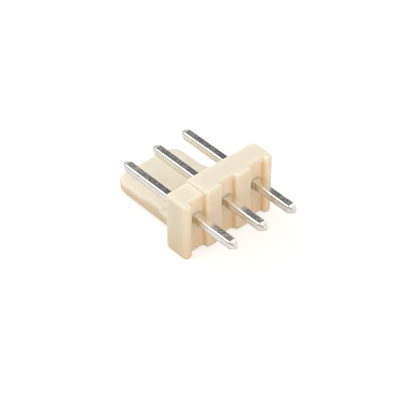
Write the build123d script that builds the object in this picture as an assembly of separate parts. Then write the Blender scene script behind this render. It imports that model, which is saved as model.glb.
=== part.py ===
from build123d import *
import os

# Single-row header with a friction-lock wall, lying on the outer face of that wall.
# Millimetres. X runs along the row of posts, +Y points to their mating ends, +Z is up.
# The origin is the middle of the footprint, on the surface that the header lies on.

# Row of posts
post_count = 3
pitch = 3.96

# Square post, drawn from plated wire with rounded edges and a blunt four-sided point
post_width = 1.0
post_edge_radius = 0.2
point_length = 0.6
point_width = 0.5
point_edge_radius = 0.14
mating_reach = 11.65
tail_length = 5.2
post_height = 4.43
post_fit = 0.01

# Base block
end_margin = 1.98
base_thickness = 3.1
base_height = 7.35
base_corner_radius = 0.5
base_edge_radius = 0.28
foot_edge_radius = 0.38

# Slots in the solder side, one at each post, which leave standoff legs between them
slot_width = 1.88
slot_depth = 0.6
leg_corner_radius = 0.36
slot_corner_radius = 0.15

# Lowered end of the top, which marks the first post and ends in line with the wall of its slot
marker_drop = 0.4
marker_edge_radius = 0.1

# Friction-lock wall, flush with the lower face of the base
lock_width = 8.3
lock_reach = 13.4
lock_thickness = 1.65
lock_corner_radius = 1.55
lock_inner_radius = 0.3
lock_outer_radius = 0.85
lock_root_radius = 0.5

# Lock ridge across the inner face of the wall, with a long ramp towards its tip
ridge_height = 0.35
ridge_start = 6.1
ridge_width = 1.9
ridge_back_run = 0.35
ridge_ramp_run = 1.2
ridge_blend_radius = 0.4

# Places that follow from the sizes. Reaches and lengths are counted from the seating plane,
# the plane of the leg ends, which stands on the circuit board.
base_width = (post_count - 1) * pitch + 2 * end_margin
seat_y = (tail_length - max(lock_reach, mating_reach)) / 2
slot_floor_y = seat_y + slot_depth
mating_face_y = seat_y + base_thickness
lock_tip_y = seat_y + lock_reach
post_x = [(i - (post_count - 1) / 2) * pitch for i in range(post_count)]
marker_x = post_x[0] + slot_width / 2
marker_height = base_height - marker_drop

# Two places nearer than this are taken as the same one
same_place = 1e-4


def near(value, target):
    return abs(value - target) < same_place


def box_between(x_low, x_high, y_low, y_high, z_low, z_high):
    middle = Pos((x_low + x_high) / 2, (y_low + y_high) / 2, (z_low + z_high) / 2)
    return middle * Box(x_high - x_low, y_high - y_low, z_high - z_low)


def round_corners(plan, radius, wanted):
    """Rounds the corners of a flat outline that answer to a test."""
    return fillet([v for v in plan.vertices() if wanted(v)], radius)


def round_edges(body, radius, wanted):
    """Rounds the edges of a solid that answer to a test on their bounding box."""
    return fillet([e for e in body.edges() if wanted(e.bounding_box())], radius)


def level_at(box, height):
    return near(box.min.Z, height) and near(box.max.Z, height)


def base_plan():
    """The base seen from above, with its slots between the legs."""
    plan = Pos(0, seat_y + base_thickness / 2) * Rectangle(base_width, base_thickness)
    for x in post_x:
        plan -= Pos(x, seat_y) * Rectangle(slot_width, 2 * slot_depth)

    def at_end(corner):
        return near(abs(corner.X), base_width / 2)

    plan = round_corners(plan, leg_corner_radius, lambda v: near(v.Y, seat_y) and not at_end(v))
    plan = round_corners(plan, slot_corner_radius, lambda v: near(v.Y, slot_floor_y))
    return round_corners(plan, base_corner_radius, at_end)


def base_block():
    """The block that carries the posts, cut lower at the end of the first post."""
    body = extrude(base_plan(), base_height)
    body = round_edges(body, foot_edge_radius, lambda b: level_at(b, 0))
    body = round_edges(body, base_edge_radius, lambda b: level_at(b, base_height))
    body -= box_between(-base_width, marker_x, seat_y, mating_face_y, marker_height, base_height)

    def on_low_rim(box):
        return level_at(box, marker_height) and box.min.X < marker_x - slot_corner_radius

    def on_step(box):
        return level_at(box, base_height) and near(box.min.X, marker_x) and near(box.max.X, marker_x)

    body = round_edges(body, base_edge_radius, on_low_rim)
    return round_edges(body, marker_edge_radius, on_step)


def lock_profile(start_y):
    """The wall seen from the end of the row: each point is its place along Y and its height."""
    crest = lock_thickness + ridge_height
    ridge_y = seat_y + ridge_start
    root = (mating_face_y, lock_thickness)
    ridge = [
        (ridge_y - ridge_back_run, lock_thickness),
        (ridge_y, crest),
        (ridge_y + ridge_width, crest),
        (ridge_y + ridge_width + ridge_ramp_run, lock_thickness),
    ]
    tip = [(lock_tip_y, lock_thickness), (lock_tip_y, 0)]
    inside_base = [(start_y, 0), (start_y, base_height / 2), (mating_face_y, base_height / 2)]
    profile = make_face(Polyline(root, *ridge, *tip, *inside_base, close=True))
    profile = round_corners(profile, lock_root_radius, lambda v: near(v.X, root[0]) and near(v.Y, root[1]))
    ridge_corners = [v for v in profile.vertices() if any(near(v.X, y) for y, height in ridge)]
    return fillet(ridge_corners, ridge_blend_radius)


def lock_wall():
    """The wall behind the posts, which a mating housing snaps over."""
    start_y = seat_y + base_thickness / 2
    plan = Pos(0, (start_y + lock_tip_y) / 2) * Rectangle(lock_width, lock_tip_y - start_y)
    plan = round_corners(plan, lock_corner_radius, lambda v: near(v.Y, lock_tip_y))
    wall = extrude(plan, base_height) & extrude(Plane.YZ * lock_profile(start_y), lock_width, both=True)

    def on_inner_rim(box):
        raised = box.min.Z > lock_outer_radius and box.max.Y > mating_face_y + same_place
        along_rim = box.max.X - box.min.X < lock_width / 2 or near(box.max.Y, lock_tip_y)
        return raised and along_rim

    wall = round_edges(wall, lock_inner_radius, on_inner_rim)
    return round_edges(wall, lock_outer_radius, lambda b: level_at(b, 0) and b.max.Y > start_y + same_place)


def post_hole(x):
    """The passage that a post is pressed through."""
    width = post_width + 2 * post_fit
    outline = RectangleRounded(width, width, post_edge_radius + post_fit)
    start = Plane(origin=(x, seat_y, post_height), x_dir=(1, 0, 0), z_dir=(0, 1, 0))
    return extrude(start * outline, base_thickness)


def housing():
    body = base_block() + lock_wall()
    for x in post_x:
        body -= post_hole(x)
    return body


def post(x):
    """A straight square post with a blunt point at each end."""

    def section(y, width, radius):
        plane = Plane(origin=(x, y, post_height), x_dir=(1, 0, 0), z_dir=(0, 1, 0))
        return plane * RectangleRounded(width, width, radius)

    tail_y = seat_y - tail_length
    mating_y = seat_y + mating_reach
    tail_shoulder = section(tail_y + point_length, post_width, post_edge_radius)
    mating_shoulder = section(mating_y - point_length, post_width, post_edge_radius)
    tail_tip = section(tail_y, point_width, point_edge_radius)
    mating_tip = section(mating_y, point_width, point_edge_radius)
    bar = extrude(tail_shoulder, mating_reach + tail_length - 2 * point_length)
    tail_point = loft([tail_tip, tail_shoulder], ruled=True)
    return bar + tail_point + loft([mating_shoulder, mating_tip], ruled=True)


def write(name, shape):
    shape.label = name
    export_step(shape, f"parts/{name}.step")


os.makedirs("parts", exist_ok=True)
write("housing", housing())
for number, x in enumerate(post_x, start=1):
    write(f"post_{number}", post(x))
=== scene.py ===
import math
import bpy
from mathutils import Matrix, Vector

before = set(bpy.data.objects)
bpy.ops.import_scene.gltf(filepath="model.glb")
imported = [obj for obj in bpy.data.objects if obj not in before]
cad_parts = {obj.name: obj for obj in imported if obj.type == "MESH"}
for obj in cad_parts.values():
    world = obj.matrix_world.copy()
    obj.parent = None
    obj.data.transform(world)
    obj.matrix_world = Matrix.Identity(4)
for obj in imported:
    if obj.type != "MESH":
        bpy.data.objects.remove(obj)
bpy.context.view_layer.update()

# A wire-to-board header of natural nylon with tinned square posts, on a pale studio table.
# Metres. X runs along the row of posts, +Y points to their mating ends, +Z is up.
# The finishes read Object coordinates in millimetres.

MM = 0.001
black = (0, 0, 0)

# Camera, found from the posts, the legs and the base's corners in the photograph
camera_azimuth = -41.576
camera_elevation = 40.953
camera_distance = 163.873 * MM
camera_aim = Vector((-0.678, -0.328, 2.733)) * MM
camera_focal_px = 1611.921
camera_near = 0.01
camera_far = 100
picture_px = 400
sensor_width = 36.0

# Studio
table_size = 4.0
table_colour = (0.50, 0.50, 0.51)
table_glow = 0.6
mirrored_table_glow = 0.38
room_fill = (0.71, 0.645, 0.585)
mirrored_room = (1.15, 1.15, 1.15)
lamp_distance = 0.6
lamp_target = Vector((0, 0, 0))
card_colour = (1.0, 0.985, 0.96)

# Skin of the nylon
nylon_ior = 1.5
grain_height = 0.012 * MM
glow_depth = 1.2 * MM
glow_spread = (1.0, 0.9, 0.72)

# How far the nylon's painted shade and painted light look for a neighbouring surface, in millimetres
nook_reach = 0.4
hollow_reach = 1.2
outlook_reach = 4.5
edge_depth = 0.4
painted_shade_rays = 8

# Places that the nylon's painted shade and painted light follow, in millimetres
shaded_height = 3.5
sole_height = 0.7
brow_height = 6.7
brow_full_height = 7.7
mating_start_y = -1.3
mating_face_y = -1.0
wall_edge_x = 4.0
wall_inland_x = 2.5

# Wear on the posts and the painted dark reflection lines along them, in millimetres, with the depth of
# the drawn streaks
wear_middle_y = -1.5
wear_start = 2.0
wear_full = 9.0
line_height = 4.48
line_offset = 0.27
line_width = 0.08
streak_depth = 0.02 * MM


class Signal:
    """A socket of a node tree. Arithmetic on it adds Math nodes."""

    def __init__(self, nodes, socket):
        self.nodes = nodes
        self.socket = socket

    def math(self, operation, *values):
        return self.nodes.signal("ShaderNodeMath", {"operation": operation}, dict(enumerate(values)))

    def __add__(self, other):
        return self.math("ADD", self, other)

    __radd__ = __add__

    def __sub__(self, other):
        return self.math("SUBTRACT", self, other)

    def __rsub__(self, other):
        return self.math("SUBTRACT", other, self)

    def __mul__(self, other):
        return self.math("MULTIPLY", self, other)

    __rmul__ = __mul__

    def absolute(self):
        return self.math("ABSOLUTE", self)

    def clamped(self):
        return self.nodes.signal("ShaderNodeClamp", {}, {0: self})

    def ramp(self, start, end):
        """0 at the first value, 1 at the second and straight between them."""
        return ((self - start) * (1 / (end - start))).clamped()

    def contrast(self, amount):
        """A pattern from 0 to 1, spread about its middle."""
        return ((self - 0.5) * amount + 0.5).clamped()


class Nodes:
    """A node tree. Each node comes from one method."""

    def __init__(self, tree):
        self.tree = tree

    def node(self, kind, settings=None, inputs=None):
        """Adds a node, with its settings first and then the values or links of its sockets."""
        node = self.tree.nodes.new(kind)
        for key, value in (settings or {}).items():
            setattr(node, key, value)
        for key, value in (inputs or {}).items():
            self.feed(node.inputs[key], value)
        return node

    def feed(self, socket, value):
        if isinstance(value, Signal):
            self.tree.links.new(value.socket, socket)
        elif socket.type == "RGBA":
            socket.default_value = (*value, 1.0)
        else:
            socket.default_value = value

    def signal(self, kind, settings=None, inputs=None, output=0):
        return Signal(self, self.node(kind, settings, inputs).outputs[output])

    def ray(self, kind):
        """1 for rays of one kind and 0 for the others."""
        return self.signal("ShaderNodeLightPath", output=f"Is {kind} Ray")

    def blend(self, share, first, second):
        """A colour between two, by a share from 0 to 1."""
        inputs = {"Factor": share, 6: first, 7: second}
        return self.signal("ShaderNodeMix", {"data_type": "RGBA"}, inputs, output=2)

    def under_stains_and_painted_light(self, colour, stains_and_painted_light):
        """A colour under one tint after another, real stains or painted light and shade, each laid on by
        its share from 0 to 1.
        """
        for share, tint in stains_and_painted_light:
            colour = self.blend(share, colour, tint)
        return colour


class Finish(Nodes):
    """A material built round its Principled shader."""

    def __init__(self, name):
        self.material = bpy.data.materials.new(name)
        self.material.use_nodes = True
        super().__init__(self.material.node_tree)
        self.surface = self.tree.nodes["Principled BSDF"]

    def place(self, stretch=(1, 1, 1)):
        """Object coordinates in millimetres, stretched where a pattern runs one way."""
        where = self.signal("ShaderNodeTexCoord", output="Object")
        scale = [s / MM for s in stretch]
        return self.signal("ShaderNodeMapping", {}, {"Vector": where, "Scale": scale})

    def parts(self, vector):
        """A vector's three numbers."""
        node = self.node("ShaderNodeSeparateXYZ", {}, {0: vector})
        return [Signal(self, output) for output in node.outputs]

    def noise(self, where, scale, detail, roughness=0.5):
        inputs = {"Vector": where, "Scale": scale, "Detail": detail, "Roughness": roughness}
        return self.signal("ShaderNodeTexNoise", {}, inputs)

    def openness(self, reach, inside=False):
        """1 where no surface lies within the reach, and lower in corners, or inside at thin edges."""
        settings = {"samples": painted_shade_rays, "inside": inside}
        return self.signal("ShaderNodeAmbientOcclusion", settings, {"Distance": reach * MM}, output="AO")

    def bump(self, height, distance, strength):
        inputs = {"Height": height, "Distance": distance, "Strength": strength}
        return self.signal("ShaderNodeBump", {}, inputs)

    def set(self, **values):
        for name, value in values.items():
            self.feed(self.surface.inputs[name.replace("_", " ")], value)


def nylon_finish():
    """Natural nylon: cream, faintly translucent, with a soft moulded skin, and light and shade painted
    into its colour.
    """
    nylon = Finish("natural_nylon")

    # Two creams in soft clouds, with the fine grain of the mould
    where = nylon.place()
    clouds = nylon.noise(where, scale=0.8, detail=3.0)
    grain = nylon.noise(where, scale=5.0, detail=4.0, roughness=0.65)
    warm_cream = (0.825, 0.765, 0.65)
    cool_cream = (0.85, 0.81, 0.715)
    skin = nylon.blend((clouds * 0.5 + grain * 0.5).contrast(1.6), warm_cream, cool_cream)

    # Where on the header a point is, and which way it faces
    across, along, height = nylon.parts(where)
    facing = nylon.signal("ShaderNodeNewGeometry", output="Normal")
    facing_y, facing_z = nylon.parts(facing)[1:]
    up = facing_z.clamped()
    side = 1 - up
    brow = height.ramp(brow_height, brow_full_height) * 0.6
    near_top = (brow * 4).clamped()
    ridge_back = (0 - facing_y).clamped() * along.ramp(mating_start_y, mating_face_y)
    inland = across.absolute().ramp(wall_edge_x, wall_inland_x)

    # How much open space it has, from the corners of the slots to the wall under the posts
    nook = nylon.openness(nook_reach)
    space = nylon.openness(hollow_reach)
    outlook = nylon.openness(outlook_reach)
    thickness = nylon.openness(edge_depth, inside=True)

    # How much of each painted shade, shadow and highlight the skin takes
    # Painted highlight: thin edges of the side faces turn pale
    painted_highlight_thin_edges = 1 - (thickness * 0.6 + 0.4 + up * 0.5).clamped()
    # Painted light: the wall's upward face under the posts, which sits in shade, turns paler
    painted_light_lock_wall = ((1 - outlook) * up * space * 2.5).clamped()
    # Painted shadow: a golden tint on the upward faces where the posts above hide them from the open
    painted_shadow_under_posts = outlook.ramp(0.8, 0.467) * up * inland
    # Painted shade: the sides turn darker towards the bottom, most of all at the sole
    painted_shade_lower_sides = (height.ramp(shaded_height, 0) * 0.38 + height.ramp(sole_height, 0) * 0.5) * side
    # Painted shade: darker rims on the rounded edges between the tops and the sides
    painted_shade_rounded_edges = up * side * 4 * space.ramp(0.5, 1) * (1 - ridge_back)
    # Painted light: the wall's root slope facing the base turns paler
    painted_light_ridge_slope = (ridge_back * 1.4).clamped()
    # Painted shade: a golden brown on the sides where little open space lies around them
    shaded_sides = 1 - (outlook + up * 0.8 + brow).clamped()
    # Painted shade: a deeper gold on every upright face
    painted_shade_upright_sides = (1 - (up * 1.4).clamped()) * 0.2
    # Painted shade: a gold in hollows
    painted_shade_hollows = 1 - (space * 1.05 + up * 0.1 + brow).clamped()
    # Painted shade: a dark umber in the narrow corners of the slots, below the top
    painted_shade_slot_corners = nook.ramp(0.74, 0.407) * (1 - near_top)
    # Painted shade: a grey on the face of the step near the top, where it is hemmed in
    painted_shade_step_face = outlook.ramp(0.85, 0.6) * side * near_top

    # The painted shades, shadows and highlights, in the order in which they lie over the skin
    # Painted light: a pale colour laid on shaded places of the wall
    painted_pale_light = (1.0, 0.948, 0.865)
    stains_and_painted_light = [
        (painted_highlight_thin_edges, (0.93, 0.89, 0.82)),
        # Painted shade: every upward face takes a cooler, slightly darker cream than the sides
        (up, (0.785, 0.755, 0.67)),
        (painted_light_lock_wall, painted_pale_light),
        (painted_shadow_under_posts, (1.0, 0.84, 0.62)),
        (painted_shade_lower_sides, (0.52, 0.48, 0.45)),
        (painted_shade_rounded_edges, (0.76, 0.70, 0.58)),
        (painted_light_ridge_slope, painted_pale_light),
        (shaded_sides, (0.85, 0.60, 0.34)),
        (painted_shade_upright_sides, (0.78, 0.62, 0.44)),
        (painted_shade_hollows, (0.86, 0.75, 0.49)),
        (painted_shade_slot_corners, (0.80, 0.57, 0.25)),
        (painted_shade_step_face, (0.72, 0.73, 0.73)),
    ]
    nylon.set(Base_Color=nylon.under_stains_and_painted_light(skin, stains_and_painted_light), Roughness=0.42 + 0.14 * grain, IOR=nylon_ior)
    nylon.set(Normal=nylon.bump(grain, grain_height, strength=0.35))
    nylon.set(Subsurface_Weight=1.0, Subsurface_Scale=glow_depth, Subsurface_Radius=glow_spread)
    return nylon.material


def tin_finish():
    """Bright tin over drawn wire: faint streaks along the post, soft mottling, and painted dark
    reflection lines on its sides.
    """
    tin = Finish("tin_plating")
    streaks = tin.noise(tin.place((6.0, 0.35, 6.0)), scale=1.0, detail=4.0, roughness=0.6)
    mottle = tin.noise(tin.place((1.0, 0.7, 1.0)), scale=3.6, detail=4.0, roughness=0.7)
    where = tin.place()
    patches = tin.noise(where, scale=1.3, detail=2.0)
    spots = (mottle * 0.6 + patches * 0.4).contrast(3.6)

    # A post is duller towards its points, and two thin dark lines of painted reflection run along each
    # side face
    along, height = tin.parts(where)[1:]
    worn = (along - wear_middle_y).absolute().ramp(wear_start, wear_full)
    from_line = ((height - line_height).absolute() - line_offset).absolute()
    # Painted reflection: two thin dark lines along each side face of a post
    painted_reflection_lines = from_line.ramp(line_width, 0) * 0.8
    dull_tin = (0.76, 0.745, 0.71)
    stains_and_painted_light = [
        (spots, (0.90, 0.89, 0.865)),
        (painted_reflection_lines, (0.55, 0.50, 0.44)),
    ]
    tin.set(Base_Color=tin.under_stains_and_painted_light(dull_tin, stains_and_painted_light), Metallic=1.0)
    tin.set(Roughness=0.05 + 0.16 * spots + 0.05 * streaks + 0.15 * worn)
    tin.set(Normal=tin.bump(streaks * 0.5 + mottle * 0.5, streak_depth, strength=0.4))
    return tin.material


def dress(name, material):
    """Gives a piece of the frame its finish."""
    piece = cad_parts[name]
    piece.data.materials.clear()
    piece.data.materials.append(material)


def plane(name, size, material):
    """A flat sheet of the studio."""
    bpy.ops.mesh.primitive_plane_add(size=size)
    sheet = bpy.context.object
    sheet.name = name
    sheet.data.materials.append(material)
    return sheet


def table():
    """A wide pale table, white to the camera and still taking the header's shadow."""
    paint = Finish("table_paint")
    paint.set(Base_Color=table_colour, Roughness=0.9, Specular_IOR_Level=0.0)
    seen = (paint.ray("Camera") + paint.ray("Transmission")).clamped() * table_glow
    mirrored = paint.ray("Glossy") * mirrored_table_glow
    glow = paint.signal("ShaderNodeEmission", {}, {"Strength": seen + mirrored})
    lit_paint = Signal(paint, paint.surface.outputs[0])
    both = paint.signal("ShaderNodeAddShader", {}, {0: lit_paint, 1: glow})
    paint.feed(paint.tree.nodes["Material Output"].inputs["Surface"], both)
    plane("studio_table", table_size, paint.material)


def room():
    """A warm pale room, white to the camera and in mirrors."""
    world = bpy.data.worlds.new("pale_room")
    bpy.context.scene.world = world
    world.use_nodes = True
    nodes = Nodes(world.node_tree)
    seen = nodes.ray("Camera") + nodes.ray("Glossy") + nodes.ray("Transmission")
    colour = nodes.blend(seen, room_fill, mirrored_room)
    nodes.feed(nodes.tree.nodes["Background"].inputs["Color"], colour)


def aim_at(thing, place, target):
    thing.location = place
    thing.rotation_mode = "QUATERNION"
    thing.rotation_quaternion = (target - place).to_track_quat("-Z", "Y")


def softbox(name, direction, size, power, colour, mirrored=False):
    """A square lamp that the camera doesn't see. Mirrored says whether the posts show it."""
    light = bpy.data.lights.new(name, "AREA")
    light.size = size
    light.energy = power
    light.color = colour
    lamp = bpy.data.objects.new(name, light)
    bpy.context.scene.collection.objects.link(lamp)
    aim_at(lamp, Vector(direction).normalized() * lamp_distance, lamp_target)
    lamp.visible_camera = False
    lamp.visible_glossy = mirrored


def card(name, direction, distance, size, level):
    """A dark or grey card that the camera doesn't see and the posts' flat faces mirror."""
    cloth = Finish("grey_card")
    cloth.set(Base_Color=black, Roughness=1.0, Specular_IOR_Level=0.0)
    cloth.set(Emission_Color=card_colour, Emission_Strength=level)
    sheet = plane(name, 1, cloth.material)
    sheet.scale = (*size, 1)
    aim_at(sheet, Vector(direction).normalized() * distance, lamp_target)
    sheet.visible_diffuse = False
    sheet.visible_camera = False


def camera():
    lens = bpy.data.cameras.new("photo_camera")
    lens.sensor_width = sensor_width
    lens.lens = camera_focal_px / picture_px * sensor_width
    lens.clip_start = camera_near
    lens.clip_end = camera_far
    eye = bpy.data.objects.new("photo_camera", lens)
    bpy.context.scene.collection.objects.link(eye)
    azimuth = math.radians(camera_azimuth)
    elevation = math.radians(camera_elevation)
    level = Vector((math.sin(azimuth), -math.cos(azimuth), 0))
    back = level * math.cos(elevation) + Vector((0, 0, math.sin(elevation)))
    aim_at(eye, camera_aim + camera_distance * back, camera_aim)
    bpy.context.scene.camera = eye


nylon = nylon_finish()
tin = tin_finish()
dress("housing", nylon)
for number in (1, 2, 3):
    dress(f"post_{number}", tin)

table()
room()
softbox("overhead", (-0.45, 0.55, 1.0), 0.7, 0.72, (0.97, 0.97, 0.93), mirrored=True)
softbox("side_key", (-1.0, 0.35, 1.0), 0.22, 0.6, (0.86, 0.92, 0.92))
softbox("front_fill", (-0.2, -0.95, 0.3), 0.5, 1.75, (1.0, 0.89, 0.78))
softbox("back_fill", (-0.15, 0.9, 0.45), 0.5, 1.5, (0.93, 0.97, 1.0))
card("back_flag", (0.5, 0.565, 0.62), 0.45, (0.5, 0.24), 0.163)
card("tip_card", (0.52, 0.86, 0.12), 0.42, (0.22, 0.14), 0.6)
card("tip_flag", (-0.2, 0.95, 0.25), 0.42, (0.22, 0.2), 0.1)
card("camera_flag", (-0.72, -0.42, 0.55), 0.45, (0.4, 0.3), 0.08)

# Three low cards in an arc beyond the mating ends
for aside in (-0.95, -0.75, -0.5):
    ahead = 0.97 - aside * aside * 0.6
    card("low_flag", (aside, ahead, 0.08), 0.42, (0.16, 0.12), 0.12)
camera()

view = bpy.context.scene.view_settings
view.view_transform = "Standard"
